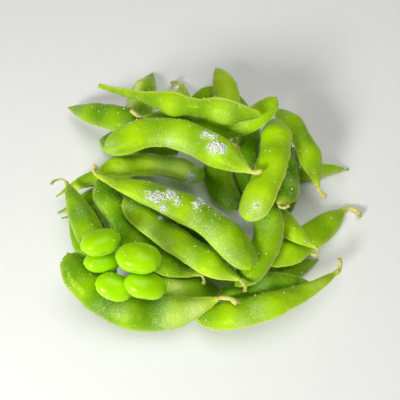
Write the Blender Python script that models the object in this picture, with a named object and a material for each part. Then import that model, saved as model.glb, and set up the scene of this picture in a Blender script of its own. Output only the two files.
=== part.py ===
"""A heap of cooked edamame pods, with five shelled beans lying on it.

Every pod is one grown piece: a flattened, bowed body that swells over its
beans, a short beak at the far end and, at the near end, the stalk it was
picked by.  The pods are laid one after another, lowest first.  Each is
lowered onto the ones already there and rocked until its middle is as low
as it can get, so that the heap stands on the ground and holds itself up.
All sizes are in millimetres and angles in degrees, turned to metres last.
"""

import math
from dataclasses import dataclass

import bpy
import numpy as np

MM = 0.001

# Driving dimensions.
POD_WIDTH = 11.5
POD_THICKNESS = 8.5
BEAN_HALF_LENGTH = 6.5
STALK_RADIUS = 1.0
BEAK_RADIUS = 0.45
END_DOME = 0.4
CLEARANCE = 0.35

# The skins' colour and roughness.
POD_SKIN = ("#84B800", 0.4)
BEAN_SKIN = ("#B4E600", 0.25)

# How finely the solids are cut.
SIDES = 8
BODY_RINGS = 15
STALK_RINGS = 4

# How finely a pod is cut while its pose is sought, and once it is found.
FEELER = (40, 6, 16)
FINE = (110, 16, 32)

# How far a pod is rocked and pitched, and what bending it by 1 mm costs.
ROCK_LIMIT = 14
PITCH_LIMIT = 14
SAG_COST = 0.02

# Each round of the search: its share of the limits, and its steps of rock.
SEARCH = ((1.0, 7), (0.25, 4), (0.08, 3))

# The grid that holds the height of the heap while it is being laid.
GRID_CELL = 0.5
GRID_HALF = 110.0


@dataclass
class Pod:
    """One pod or bean, and where it lies in plan.

    stem and tip are the two ends of the body; bow is how far the centre line
    is pulled to the left of the straight line between them, a third and two
    thirds of the way; an end is the length it tapers over and how round it
    is, from 1 for a point to 2 for a half round; beans are places along the
    body, 0 to 1, and dips are how much narrower and thinner it is between
    them; the stalk is its length, its turn to the left seen from the body and
    its rise; beak is the length of the point at the tip; roll turns the pod
    about its length, 90 on its seam; lean is the pitch it is first tried at,
    stem up; limp is how far its middle can sag or arch.
    """
    name: str
    stem: tuple
    tip: tuple
    bow: tuple = (0, 0)
    width: float = POD_WIDTH
    thickness: float = POD_THICKNESS
    stem_end: tuple = (20, 1.2)
    tip_end: tuple = (18, 1.3)
    beans: tuple = (0.22, 0.5, 0.78)
    dips: tuple = (0.06, 0.20)
    stalk: tuple = (0, 0, 0)
    stalk_radius: float = STALK_RADIUS
    beak: float = 0.3
    roll: float = 0
    lean: float = 0
    limp: float = 4


# The heap, from the ground up.
LAYOUT = (
    Pod("right_pod_3", (39, 22), (70, 28), (0, 2), 8, 7, tip_end=(24, 1), beak=2),
    Pod("right_pod_9", (24, -29), (52, -17), (-1, -1), 9, 7.5, tip_end=(20, 1)),
    Pod("left_pod_3", (-32, 22), (-64, 6), (2, 2), 10, 8, tip_end=(22, 1), beak=2),
    Pod("left_pod_4", (-27, 6), (-61, 2), (1, 1), 9, 7.5, tip_end=(22, 1), beak=2),
    Pod("back_pod_7", (-9.5, 77.5), (-9, 40), (0, 0), 9, 7, (14, 1.2), (14, 1.3), stalk=(9, 215, 4)),
    Pod("back_pod_3", (-4, 69), (25, 62), (3, 2), 11.5, 8, (12, 1.7), (14, 1.5)),
    Pod("middle_pod_9", (17, 45), (24, 5), (1, 0), 10, 8),
    Pod("front_pod_4", (-35, -26), (8, -31), (-5, -3), 11.5, 8.5, tip_end=(9, 1.9)),
    Pod("front_pod_3", (46, -30), (6, -36), (-2, -4), 10.5, 8, (16, 1.2), (16, 1.3)),
    Pod("left_pod_1", (-11, 38), (-49, 43), (2, 2), 12.5, 8.5, tip_end=(8, 1.9)),
    Pod("back_pod_2", (-32, 33), (-25.5, 86.5), (-1, 5), 13.5, 8.5, tip_end=(20, 1.2), roll=-30),
    Pod("back_pod_1", (-23, 40.5), (-67.5, 61.3), (3, 3), 12, 8.5, (12, 1.6), (32, 1.05), (0.3, 0.65)),
    Pod("back_pod_4", (12.5, 42), (8, 80), (-3, -5), 12.5, 8.5, tip_end=(16, 1.4)),
    Pod("left_pod_2", (-28, 30), (-64, 12), (4, 0), 10, 8, tip_end=(30, 1.1), beak=2),
    Pod("middle_pod_7", (27, 57), (20, 21), (0, 0), 11, 8.5, tip_end=(10, 1.8)),
    Pod("middle_pod_6", (-31, 8), (9, -16), (0, 3), 11, 8.5),
    Pod("middle_pod_8", (10, 32), (18, 5), (-8, -6), 13, 9, (10, 1.5), (12, 1.7), stalk=(10, -130, 3)),
    Pod("right_pod_8", (67, 7), (27, -22), (1, 3), 12, 8.5, (20, 1.2), (14, 1.5), stalk=(10, -140, 1)),
    Pod("right_pod_7", (48, -16), (24, 11), (4, 1), 11, 8, (20, 1.1), (12, 1.5), stalk=(6, -190, 0),
        stalk_radius=0.65),
    Pod("left_pod_6", (-56, 8), (-42, -29), (-2, -2), 10, 8),
    Pod("middle_pod_4", (0, -26), (-43, 15), (10, 12), 12.5, 9, (22, 1.2), (12, 1.8), stalk=(5, -100, 0),
        stalk_radius=0.75),
    Pod("front_pod_2", (57, -25), (-2, -43), (7, 7), 12, 9, (50, 0.85), (14, 1.5), stalk=(6, 80, 2)),
    Pod("right_pod_5", (45, 38), (42, 6), (-1, -3), 8, 7.5, tip_end=(10, 1.5)),
    Pod("right_pod_6", (26, 3), (14, -32), (11, 7), 12, 9, (10, 1.8), (14, 1.5)),
    Pod("right_pod_4", (31, -4), (37, 49), (-9, 0), 11, 8.5, (12, 1.7), (14, 1.5), stalk=(6, 200, 1),
        stalk_radius=0.65),
    Pod("left_pod_5", (-59, 14), (-36, -30), (0, 1), 11, 9, (26, 1), (14, 1.5), stalk=(8.5, 150, 2),
        stalk_radius=0.65),
    Pod("front_pod_1", (7, -37), (-52, -21), (16, 21), 13.5, 9.5, (24, 1.15), (9, 2), stalk=(8, -70, 2)),
    Pod("right_pod_2", (51.5, 12), (34.5, 49.5), (-2, -4), 11.5, 8.5, (12, 1.2), (12, 1.7), (0.3, 0.75),
        (0.22, 0.25), (6, 70, 0), lean=8),
    Pod("right_pod_1", (32.5, 39.5), (18.2, -10), (6.5, 4), 12.8, 9.5, (9, 1.9), (7.5, 2)),
    Pod("back_pod_5", (-25.5, 41.5), (32.7, 43), (-2, -17), 10.5, 8.5, (14, 1.4), (8, 2), stalk=(6.5, -50, 0)),
    Pod("middle_pod_5", (15, -30), (-32, 5), (1, 3), 12.5, 9, (16, 1.3), (10, 1.8), stalk=(6, -70, 0),
        stalk_radius=0.8),
    Pod("middle_pod_2", (-44, 12), (3, 18), (11, 14), 11.5, 9, (14, 1.4), (7, 1.9)),
    Pod("middle_pod_3", (-42, 11), (19, -28), (7, 18), 14.2, 9.5, (42, 1.2), (12, 2), stalk=(5, -110, 1),
        stalk_radius=0.8),
    Pod("middle_pod_1", (20, 9), (-41, 24), (-10, -24), 13, 9, (20, 1.1), (12, 1.8), stalk=(5, 60, 0)),
    Pod("back_pod_6", (-45.5, 55.3), (25.2, 32.7), (-8, -8), 11.5, 10.4, (42, 0.7), (12, 1.3), (0.48, 0.785),
        (0.35, 0.48), roll=60),
)


def Bean(name, stem, tip, width, thickness):
    """A shelled bean: a pod's body alone, round at both ends."""
    half = math.dist(stem, tip) / 2
    return Pod(name, stem, tip, (0, 0), width, thickness, (half, 2), (half, 2), (0.5,), beak=0, limp=0)


BEANS = (
    Bean("bean_3", (-44.5, -25), (-31.5, -24), 8, 7.5),
    Bean("bean_4", (-39, -32), (-26, -36), 10, 8),
    Bean("bean_1", (-44, -21), (-31, -16.5), 10.5, 8.5),
    Bean("bean_5", (-28, -33), (-13, -35), 10, 8),
    Bean("bean_2", (-30.5, -24), (-15, -26), 12, 9.5),
)


def end_swell(distance, taper, roundness):
    """How full the body is at a distance from one of its ends, 0 to 1."""
    reach = np.clip(distance / taper, 0, 1)
    return (1 - (1 - reach) ** 2) ** (1 / roundness)


def centre_line(pod, count):
    """The body's centre line beside its own straight line, and the length."""
    chord = math.dist(pod.stem, pod.tip)
    step = np.linspace(0, 1, 200)
    side = 3 * (1 - step) * step * ((1 - step) * pod.bow[0] + step * pod.bow[1])
    line = np.stack([chord * step, side], axis=1)
    run = np.concatenate([[0], np.cumsum(np.hypot(*np.diff(line, axis=0).T))])
    turn = np.linspace(0, math.pi, count)
    along = run[-1] * (0.55 * turn / math.pi + 0.225 * (1 - np.cos(turn)))
    points = np.stack([np.interp(along, run, line[:, axis]) for axis in (0, 1)], axis=1)
    return points, along, run[-1]


def body_sections(pod, count):
    """Centres, half widths and half thicknesses along the body."""
    points, along, length = centre_line(pod, count)
    full = end_swell(along, *pod.stem_end) * end_swell(length - along, *pod.tip_end)
    near = np.array(pod.beans)[:, None] * length - along
    over_bean = np.clip(np.exp(-(near / BEAN_HALF_LENGTH) ** 2).sum(axis=0), 0, 1)
    floor = BEAK_RADIUS + (pod.stalk_radius - BEAK_RADIUS) * (1 - along / length)
    narrowed, thinned = (1 - dip * (1 - over_bean) for dip in pod.dips)
    half_width = np.hypot(pod.width / 2 * full * narrowed, floor)
    half_thickness = np.hypot(pod.thickness / 2 * full * thinned, floor)
    return points, half_width, half_thickness


def stalk_sections(pod, first, heading, count):
    """Centres and radii of the stalk, from its cut end back to the body."""
    length, turn, rise = pod.stalk
    reach = np.linspace(1, 0, count, endpoint=False)
    direction = heading + math.radians(turn) * (reach - 0.5 / count)
    moves = np.stack([np.cos(direction), np.sin(direction)], axis=1) * length / count
    centres = first - np.cumsum(moves[::-1], axis=0)[::-1]
    radius = pod.stalk_radius * (0.85 + 0.25 * reach ** 3)
    return np.column_stack([centres, rise * reach ** 2]), radius


def sections(pod, body_count, stalk_count):
    """All cross-sections in the pod's own frame: centre, side, half sizes."""
    points, wide, thick = body_sections(pod, body_count)
    centres = np.column_stack([points, np.zeros(len(points))])
    first = points[1] - points[0]
    last = points[-1] - points[-2]
    if pod.stalk[0] > 0:
        heading = math.atan2(first[1], first[0])
        stalk, radius = stalk_sections(pod, points[0], heading, stalk_count)
        centres = np.vstack([stalk, centres])
        wide = np.concatenate([radius, wide])
        thick = np.concatenate([radius, thick])
    if pod.beak > 0:
        end = centres[-1] + np.append(last / np.hypot(*last), 0) * pod.beak
        centres = np.vstack([centres, end])
        wide = np.append(wide, BEAK_RADIUS)
        thick = np.append(thick, BEAK_RADIUS)
    ahead = np.gradient(centres, axis=0)
    ahead /= np.linalg.norm(ahead, axis=1)[:, None]
    side = np.cross([0, 0, 1], ahead)
    side /= np.linalg.norm(side, axis=1)[:, None]
    return centres, side, np.cross(ahead, side), wide, thick


def surface(pod, body_count, stalk_count, sides):
    """Points of the skin, ring by ring, in the pod's own frame."""
    centres, side, rise, wide, thick = sections(pod, body_count, stalk_count)
    angle = np.linspace(0, 2 * math.pi, sides, endpoint=False)
    across = np.cos(angle)[None, :, None] * (side * wide[:, None])[:, None, :]
    upward = np.sin(angle)[None, :, None] * (rise * thick[:, None])[:, None, :]
    return centres[:, None, :] + across + upward


def turned(points, pod, rock, pitch, sag):
    """The pod's points rolled, bent, pitched and set over its place in plan."""
    chord = math.dist(pod.stem, pod.tip)
    x, y, z = np.moveaxis(points, -1, 0)
    roll = math.radians(pod.roll + rock)
    y, z = y * math.cos(roll) - z * math.sin(roll), y * math.sin(roll) + z * math.cos(roll)
    z = z + sag * (1 - (2 * x / chord - 1) ** 2)
    x = x - chord / 2
    slope = math.radians(pitch)
    x, z = x * math.cos(slope) - z * math.sin(slope), x * math.sin(slope) + z * math.cos(slope)
    heading = math.atan2(pod.tip[1] - pod.stem[1], pod.tip[0] - pod.stem[0])
    middle_x = (pod.stem[0] + pod.tip[0]) / 2
    middle_y = (pod.stem[1] + pod.tip[1]) / 2
    across_x = x * math.cos(heading) - y * math.sin(heading) + middle_x
    across_y = x * math.sin(heading) + y * math.cos(heading) + middle_y
    return np.stack([across_x, across_y, z], axis=-1)


class Heap:
    """The height of the heap's top over every cell of a square grid."""

    def __init__(self):
        cells = int(2 * GRID_HALF / GRID_CELL)
        self.top = np.full((cells, cells), -CLEARANCE)

    def cells(self, points):
        """Grid indices under each point."""
        index = ((points[..., :2] + GRID_HALF) / GRID_CELL).astype(int)
        return index[..., 0], index[..., 1]

    def resting_height(self, points):
        """How far the points must be raised to clear what lies below."""
        return (self.top[self.cells(points)] + CLEARANCE - points[..., 2]).max()

    def add(self, points):
        """Raise the top to the given points and the cells around them."""
        column, row = self.cells(points)
        for shift_x in (-1, 0, 1):
            for shift_y in (-1, 0, 1):
                np.maximum.at(self.top, (column + shift_x, row + shift_y), points[..., 2])


def settle(pod, heap):
    """The rock, pitch, sag and height at which the pod lies lowest."""
    feeler = surface(pod, *FEELER)
    best = (math.inf,)
    tries = (0.0, pod.lean, 0.0)
    for reach, steps in SEARCH:
        for rock in tries[0] + ROCK_LIMIT * reach * np.linspace(-1, 1, steps):
            for pitch in tries[1] + PITCH_LIMIT * reach * np.linspace(-1, 1, 2 * steps + 1):
                for sag in tries[2] + pod.limp * reach * np.linspace(-1, 1, steps):
                    laid = turned(feeler, pod, rock, pitch, sag)
                    height = heap.resting_height(laid)
                    energy = height + laid[..., 2].mean() + SAG_COST * sag ** 2
                    if energy < best[0]:
                        best = (energy, rock, pitch, sag)
        tries = best[1:]
    fine = turned(surface(pod, *FINE), pod, *tries)
    height = heap.resting_height(fine)
    fine[..., 2] += height
    heap.add(fine)
    return (*tries, height)


def skin_faces(rings, sides):
    """Quads between the rings and a fan of triangles at each end."""
    faces = []
    for ring in range(rings - 1):
        for corner in range(sides):
            beside = (corner + 1) % sides
            low, high = ring * sides, (ring + 1) * sides
            faces.append((low + corner, low + beside, high + beside, high + corner))
    first_pole, last_pole = rings * sides, rings * sides + 1
    end = (rings - 1) * sides
    for corner in range(sides):
        beside = (corner + 1) % sides
        faces.append((first_pole, beside, corner))
        faces.append((last_pole, end + corner, end + beside))
    return faces


def linear(colour):
    """A colour's red, green and blue from sRGB hex to linear values."""
    parts = [int(colour[place:place + 2], 16) / 255 for place in (1, 3, 5)]
    return [part / 12.92 if part <= 0.04045 else ((part + 0.055) / 1.055) ** 2.4 for part in parts]


def skin_material(name, colour, roughness):
    """The waxy skin of one pod or bean."""
    material = bpy.data.materials.new(name + "_skin")
    material.use_nodes = True
    shader = material.node_tree.nodes["Principled BSDF"]
    shader.inputs["Base Color"].default_value = (*linear(colour), 1)
    shader.inputs["Roughness"].default_value = roughness
    shader.inputs["Metallic"].default_value = 0
    return material


def pole(end_ring, next_ring):
    """The middle of an end ring, pushed out so that the end is domed."""
    middle = end_ring.mean(axis=0)
    outward = middle - next_ring.mean(axis=0)
    radius = np.linalg.norm(end_ring[0] - middle)
    return middle + outward / np.linalg.norm(outward) * END_DOME * radius


def skin_points(pod, pose):
    """The skin's points where the pod lies: its rings, then its two poles."""
    rock, pitch, sag, height = pose
    rings = surface(pod, BODY_RINGS, STALK_RINGS, SIDES)
    poles = np.stack([pole(rings[0], rings[1]), pole(rings[-1], rings[-2])])
    points = turned(np.vstack([rings.reshape(-1, 3), poles]), pod, rock, pitch, sag)
    points[:, 2] += height
    return points


def make_object(name, points, material):
    """A closed, smooth mesh object over the skin's points."""
    rings = len(points) // SIDES
    mesh = bpy.data.meshes.new(name)
    mesh.from_pydata((points * MM).tolist(), [], skin_faces(rings, SIDES))
    mesh.shade_smooth()
    mesh.materials.append(material)
    item = bpy.data.objects.new(name, mesh)
    bpy.context.collection.objects.link(item)


def heap_poses():
    """Every pod and bean with the pose that it settles in."""
    heap = Heap()
    return [(pod, settle(pod, heap)) for pod in LAYOUT + BEANS]


def middle_of(points):
    """The middle of the points' box on the ground, and its lowest height."""
    low, high = points.min(axis=0), points.max(axis=0)
    return np.array([(low[0] + high[0]) / 2, (low[1] + high[1]) / 2, low[2]])


def main():
    """Lay the heap, centre it over the origin and make its objects."""
    for old in list(bpy.data.objects):
        bpy.data.objects.remove(old)
    skins = []
    for pod, pose in heap_poses():
        skins.append((pod, skin_points(pod, pose)))
    origin = middle_of(np.vstack([points for _, points in skins]))
    for pod, points in skins:
        colour, roughness = BEAN_SKIN if pod in BEANS else POD_SKIN
        make_object(pod.name, points - origin, skin_material(pod.name, colour, roughness))


main()
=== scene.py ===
"""Dresses the heap of cooked edamame: skins, stalks, down, salt, light and camera.

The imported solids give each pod's and bean's place, bend and girth, ring by
ring.  Every pod is grown again round the same rings with a fine skin: seams
along both edges, swellings over its beans, a picked stalk and a short beak.
Fine down and coarse salt are then spread over the skins.
"""

import math

import bmesh
import bpy
import numpy as np
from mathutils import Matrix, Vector


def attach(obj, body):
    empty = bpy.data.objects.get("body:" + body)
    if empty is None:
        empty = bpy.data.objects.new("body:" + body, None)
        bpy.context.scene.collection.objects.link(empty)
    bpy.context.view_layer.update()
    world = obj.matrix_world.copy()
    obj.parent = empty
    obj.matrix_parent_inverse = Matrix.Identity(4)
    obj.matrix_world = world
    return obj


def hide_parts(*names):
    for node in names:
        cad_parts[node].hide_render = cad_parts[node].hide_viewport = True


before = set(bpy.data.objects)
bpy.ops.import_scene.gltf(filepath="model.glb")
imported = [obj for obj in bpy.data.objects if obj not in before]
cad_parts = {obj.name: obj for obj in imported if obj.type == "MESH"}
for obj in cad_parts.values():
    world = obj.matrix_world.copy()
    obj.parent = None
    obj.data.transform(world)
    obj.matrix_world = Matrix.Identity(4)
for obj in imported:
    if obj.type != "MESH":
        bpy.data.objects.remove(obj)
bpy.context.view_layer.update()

bl_info = {
    "name": "Edamame heap",
    "version": (1, 0, 0),
    "blender": (4, 5, 0),
    "location": "View3D > Sidebar > Edamame",
    "description": "Skins, stalks, down and salt for a heap of cooked edamame",
    "category": "Mesh",
}

MM = 0.001
SQUARE_CENTIMETRE = 0.01 ** 2

# What the camera and the lights aim at, and the side of the square floor.
AIM = (-3.9 * MM, -18.9 * MM, 28 * MM)
FLOOR_SIDE = 4.0

# The window is low, in front and to the left; the broad light is overhead.
WINDOW_PLACE, WINDOW_SIZE = (-0.32, -0.45, 0.34), 0.18
OVERHEAD_PLACE, OVERHEAD_SIZE = (0.1, 0.15, 0.75), 0.6
SENSOR_WIDTH = 36
NEAREST_SEEN = 0.01

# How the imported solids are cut: corners to a ring, and rings to a body.  Corners 0
# and HALF lie on a pod's two edges, and QUARTER lies midway between them.
CORNERS = 8
HALF, QUARTER = CORNERS // 2, CORNERS // 4
BODY_RINGS = 15

# Corners closer than this are one corner, and no ring gets thinner than this.
WELD = 0.001 * MM
LEAST_RADIUS = 0.2 * MM

# The end of a stalk is torn and hollow; every other end is a small dome.
# Each pair is a ring's girth and how far out it lies, in radii of the end.
HOLLOW = ((0.3, -0.4), (0.62, 0.05), (0.9, 0.14))
DOME = ((0.4, 0.36), (0.75, 0.24), (0.93, 0.12))

PODS = sorted(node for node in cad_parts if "_pod_" in node)
BEANS = sorted(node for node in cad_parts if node.startswith("bean_"))

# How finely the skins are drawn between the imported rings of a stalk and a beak.
STALK_STEPS = 5
BEAK_STEPS = 4

# Waves summed into a soft noise, and how much longer or shorter each may be.
NOISE_WAVES = 14
NOISE_STRETCH = (0.7, 1.4)

# How far a bean's swelling reaches along a pod, and the down in from its edges.
BEAN_REACH = 5.6 * MM
EDGE_REACH = 2.2 * MM

# How much thinner and flatter a pod is between its beans, and how much painted shade deepens its
# green there.
BEAN_DIP = 0.1
FLATTER_BETWEEN = 0.14
PAINTED_SHADE_BETWEEN = 0.5

# How closely the sides crowd towards the seams, how much slighter one seam is than
# the other, how far a seam rises and falls, and the place and depth of the furrow
# beside it, in widths and heights of the seam.
SEAM_CROWDING = 0.3
SLIGHT_SEAM = 0.6
SEAM_UNEVENNESS, SEAM_WAVE = 0.3, 6 * MM
FURROW_PLACE, FURROW_DEPTH = 2.5, 0.25

# The skin's broad and small dents: their share of the relief, and their wavelength.
DENT_SHARE, DENT_WAVE = 0.6, 11 * MM
SMALL_DENTS, SMALL_DENT_WAVE = 0.4, 4.5 * MM

# How soon a body's full relief sets in from the joint and from the tip, how far the
# puckers reach from each, how many there are round a pod, and how they wander.
STEM_FADE, TIP_FADE = 3 * MM, 2 * MM
STEM_PUCKERS, TIP_PUCKERS = 7 * MM, 5 * MM
PUCKERS, PUCKER_HEIGHT = 7, 0.08 * MM
PUCKER_WANDER, PUCKER_WAVE = 1.5, 9 * MM

# Where a stalk turns into the body, the collar round that joint, and the stalk's knots.
STALK_JOINT = (-0.2 * MM, 0.5 * MM)
COLLAR_WIDTH, COLLAR_HEIGHT = 0.6 * MM, 0.25 * MM
KNOT_HEIGHT, KNOT_WAVE = 0.12 * MM, 2.4 * MM
NECK_REACH = 3.5 * MM

# Scars, from where they begin to fade to where they end, and how brown they are: the
# torn end, the dry tip, and a line just short of the joint, browner at its knots.
TORN_END, TORN_BROWN = (0.1 * MM, 0.7 * MM), 0.6
DRY_TIP, TIP_BROWN = (0.1 * MM, 0.5 * MM), 0.4
JOINT_LINE, JOINT_LINE_WIDTH = 0.4 * MM, 0.25 * MM
JOINT_BROWN, KNOT_BROWN = 0.4, 0.4

# How round and blunt a bean is, how far its ends run past the last ring, in widths,
# and the wavelength of its unevenness.
BEAN_SQUARENESS = 0.94
BEAN_BLUNTNESS = 2.4
BEAN_OVERRUN = 0.06
BEAN_WAVE = 9 * MM

# The slit on a bean's edge, its two lips, and the fine split that runs on from it.
# The last line gives their heights and depths in millimetres.
SLIT_LENGTH, SLIT_WIDTH = 1.6 * MM, 0.45 * MM
LIP_LENGTH, LIP_PLACE, LIP_WIDTH = 2.0 * MM, 0.7 * MM, 0.3 * MM
SPLIT_START, SPLIT_WIDTH = 4 * MM, 0.35 * MM
LIP_HEIGHT, SLIT_DEPTH, SPLIT_DEPTH = 0.08, 0.12, 0.05

# A pod holds three beans at these places along its body, unless named here.
BEAN_PLACES = (0.22, 0.5, 0.78)
OTHER_BEAN_PLACES = {
    "back_pod_1": (0.3, 0.65),
    "back_pod_6": (0.48, 0.785),
    "right_pod_2": (0.3, 0.75),
}

# How deep a green each pod is, partly its own tone and partly painted shade for pods that lie
# low in the heap or under others: 0 is the fresh green and 1 the deep one.  Below 0 the skin
# stays fresh over the patches and over the painted shade of the hollows that would deepen it.
GREEN_AND_PAINTED_SHADE = {
    "middle_pod_1": 0.1, "middle_pod_2": -0.15, "middle_pod_3": 0.15, "middle_pod_4": 0.6,
    "middle_pod_5": 0.1, "middle_pod_6": 0.9, "middle_pod_7": 0.85, "middle_pod_8": 0.75,
    "middle_pod_9": 0.75, "front_pod_1": 0.45, "front_pod_2": 0.15, "front_pod_3": 0.8,
    "front_pod_4": 0.55, "right_pod_1": 0, "right_pod_2": 0.2, "right_pod_3": 0.3,
    "right_pod_4": 0.7, "right_pod_5": 0.8, "right_pod_6": 0.55, "right_pod_7": 0.2,
    "right_pod_8": 0.2, "right_pod_9": 0.7, "back_pod_1": 0.5, "back_pod_2": 0.5,
    "back_pod_3": 0.5, "back_pod_4": 0, "back_pod_5": 0, "back_pod_6": 0.2, "back_pod_7": 0.2,
    "left_pod_1": 0.7, "left_pod_2": 0.4, "left_pod_3": 0.6, "left_pod_4": 0.6,
    "left_pod_5": 0.55, "left_pod_6": 0.6,
}

# Clumps of salt on a pod: place along it, place across from -1 to 1, radius in
# millimetres, and grains.
SALT_CLUMPS = {
    "middle_pod_1": (
        (0.25, 0.0, 2.3, 52), (0.2, -0.2, 1.6, 26), (0.35, -0.5, 1.6, 16),
        (0.3, -0.6, 1.5, 14), (0.55, 0.7, 2.0, 10)),
    "middle_pod_2": (
        (0.9, -0.8, 1.8, 40), (0.9, 0.3, 1.6, 22), (0.4, 0.6, 1.2, 8), (0.5, 0.5, 1.0, 8)),
    "middle_pod_3": (
        (0.4, 0.2, 2.0, 46), (0.35, -0.4, 2.1, 34), (0.3, -0.5, 2.2, 18),
        (0.45, -0.2, 1.3, 14), (0.4, -0.8, 1.3, 12), (0.55, 0.2, 1.4, 20),
        (0.55, 0.7, 1.8, 28), (0.65, 0.6, 2.2, 12)),
    "middle_pod_5": ((0.7, -0.5, 1.4, 18), (0.6, -0.7, 0.8, 6)),
    "right_pod_1": ((0.9, 0.3, 1.6, 14),),
}

# Patches of painted glint, white specks standing in for the window light's glints on the downy
# skin: place along, place across, radius in millimetres, strength.
PAINTED_GLINT_PATCHES = {
    "middle_pod_1": (
        (0.5, 0.8, 4.5, 0.8), (0.4, 0.9, 3.5, 0.5), (0.65, 0.9, 3.5, 0.4),
        (0.95, 0.2, 3.5, 0.5)),
    "middle_pod_2": (
        (0.6, -0.8, 4.5, 0.8), (0.75, -0.5, 4.5, 0.8), (0.9, -0.5, 4.0, 0.6),
        (0.2, -0.6, 3.0, 0.3)),
    "middle_pod_3": (
        (0.7, -0.7, 3.5, 1.0), (0.8, -0.9, 3.5, 1.0), (0.9, -0.9, 3.5, 0.9),
        (0.6, -0.7, 3.5, 0.7), (0.4, -0.8, 3.5, 0.5)),
    "middle_pod_5": (
        (0.9, 0.3, 3.0, 0.5), (0.7, 0.8, 3.5, 0.6), (0.55, 0.9, 3.5, 0.6),
        (0.35, 0.9, 3.5, 0.5)),
    "middle_pod_4": ((0.8, 0.9, 3.0, 0.6), (0.7, 0.9, 3.0, 0.5)),
    "right_pod_1": ((0.95, 0.0, 3.5, 0.4), (0.95, 0.8, 3.5, 0.6)),
    "right_pod_4": ((0.25, 0.0, 4.0, 0.5),),
    "middle_pod_8": ((0.8, 0.0, 4.0, 0.5),),
    "middle_pod_9": ((0.5, 0.4, 3.5, 0.4),),
    "front_pod_1": (
        (0.15, 0.4, 4.5, 1.2), (0.3, 0.6, 4.5, 0.9), (0.3, -0.5, 4.0, 0.6),
        (0.55, 0.0, 4.0, 0.5), (0.65, 0.4, 3.5, 0.4)),
    "front_pod_2": ((0.6, 0.4, 3.5, 0.7), (0.7, 0.9, 3.0, 0.6), (0.2, 0.2, 3.0, 0.3)),
    "front_pod_4": ((0.6, 0.0, 3.5, 0.8),),
    "front_pod_3": ((0.5, -0.3, 3.0, 0.4),),
    "back_pod_6": ((0.8, 0.0, 4.0, 0.3),),
    "back_pod_5": ((0.7, 0.0, 4.0, 0.4),),
    "right_pod_6": ((0.3, 0.0, 3.5, 0.3),),
    "back_pod_1": ((0.15, 0.8, 3.0, 0.4),),
    "left_pod_5": ((0.35, 0.2, 3.5, 0.4),),
}

# Patches of painted light, where the skin is painted paler and whiter where light falls on it,
# given in the same way.
PAINTED_LIGHT_PATCHES = {
    "back_pod_2": (
        (0.45, 0.5, 3.5, 1.3), (0.55, 0.45, 3.5, 1.3), (0.65, 0.4, 3.2, 1.3),
        (0.75, 0.4, 3.0, 1.3), (0.85, 0.4, 2.4, 1.3)),
    "front_pod_1": ((0.12, 0.4, 5.0, 0.9), (0.25, 0.3, 5.0, 0.5)),
    "front_pod_2": ((0.15, 0.0, 4.5, 0.4),),
    "middle_pod_2": ((0.5, -0.5, 5.0, 0.4), (0.8, -0.4, 5.0, 0.6)),
    "front_pod_4": ((0.6, 0.0, 5.0, 0.8),),
    "back_pod_4": ((0.6, 0.0, 5.0, 0.7), (0.8, 0.0, 4.5, 0.5)),
    "back_pod_6": ((0.5, -0.2, 5.0, 0.3), (0.8, -0.3, 5.0, 0.4)),
    "right_pod_1": ((0.9, 0.2, 5.0, 0.4),),
}


def linear(colour):
    """A colour's red, green and blue from sRGB hex to linear values."""
    parts = [int(colour[place:place + 2], 16) / 255 for place in (1, 3, 5)]
    return [part / 12.92 if part <= 0.04045 else ((part + 0.055) / 1.055) ** 2.4 for part in parts]


def opaque(colour, share=1):
    """A colour, dimmed to a share of itself, that lets nothing through."""
    return (*(share * part for part in colour), 1)


# ---------------------------------------------------------------- settings


def colour_setting(name, words, hex_colour):
    """A colour that the user can change."""
    return bpy.props.FloatVectorProperty(
        name=name, description=words, subtype="COLOR", size=3, min=0, max=1,
        default=linear(hex_colour))


def length_setting(name, words, millimetres):
    """A length that the user can change."""
    return bpy.props.FloatProperty(
        name=name, description=words, unit="LENGTH", precision=5, min=0,
        default=millimetres * MM)


class PodSettings(bpy.types.PropertyGroup):
    """Sizes and colours of the pods."""
    sides: bpy.props.IntProperty(
        name="Sides", description="Faces around a pod", min=16, max=96, default=56)
    steps: bpy.props.IntProperty(
        name="Steps", description="Faces along a pod for each of its solid's rings",
        min=2, max=16, default=8)
    seam_height: length_setting("Seam height", "How far the seam stands out from the edge", 0.28)
    seam_width: length_setting("Seam width", "Half the width of the seam's bead", 0.4)
    relief: length_setting("Relief", "Depth of the skin's soft dents", 0.22)
    fresh: colour_setting("Fresh green", "The youngest pods' skin", "#B0E000")
    # The deep green also paints the painted shade between the beans and on pods low in the heap.
    deep: colour_setting("Deep green", "The oldest pods' skin", "#4C8800")
    # The pale colour also paints the painted light patches.
    pale: colour_setting("Pale seam", "The seams and the downy edges", "#DCF048")
    # The white of the painted glints and painted highlights, and of the skin under the salt.
    painted_glint_and_salt_white: colour_setting("Frost", "The specks of bloom on the skin", "#E8FFB0")
    stalk: colour_setting("Stalk", "The picked stalk", "#DCD67C")
    scar: colour_setting("Scar", "The stalk's joint and its torn end", "#9A6C22")


class BeanSettings(bpy.types.PropertyGroup):
    """Sizes and colours of the shelled beans."""
    sides: bpy.props.IntProperty(
        name="Sides", description="Faces around a bean", min=16, max=96, default=56)
    steps: bpy.props.IntProperty(
        name="Steps", description="Faces along a bean for each of its solid's rings",
        min=2, max=16, default=5)
    unevenness: length_setting("Unevenness", "How far a bean is from a plain egg shape", 0.14)
    flesh: colour_setting("Flesh", "The beans' skin", "#9EDE00")
    edge: colour_setting("Edge", "The paler patches of the beans' skin", "#C0F010")
    scar: colour_setting("Scar", "The slit that held the bean in its pod", "#B49A50")


class DownSettings(bpy.types.PropertyGroup):
    """The fine hairs on the pods."""
    length: length_setting("Length", "Length of one hair", 1.0)
    radius: length_setting("Radius", "Radius of a hair at its root", 0.035)
    spread: bpy.props.FloatProperty(
        name="Hairs per square centimetre", description="How thickly the seams are haired",
        min=0, default=130)
    seed: bpy.props.IntProperty(name="Seed", description="Where the hairs stand", default=4)
    colour: colour_setting("Colour", "The hairs' colour", "#E8F5B4")


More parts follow.
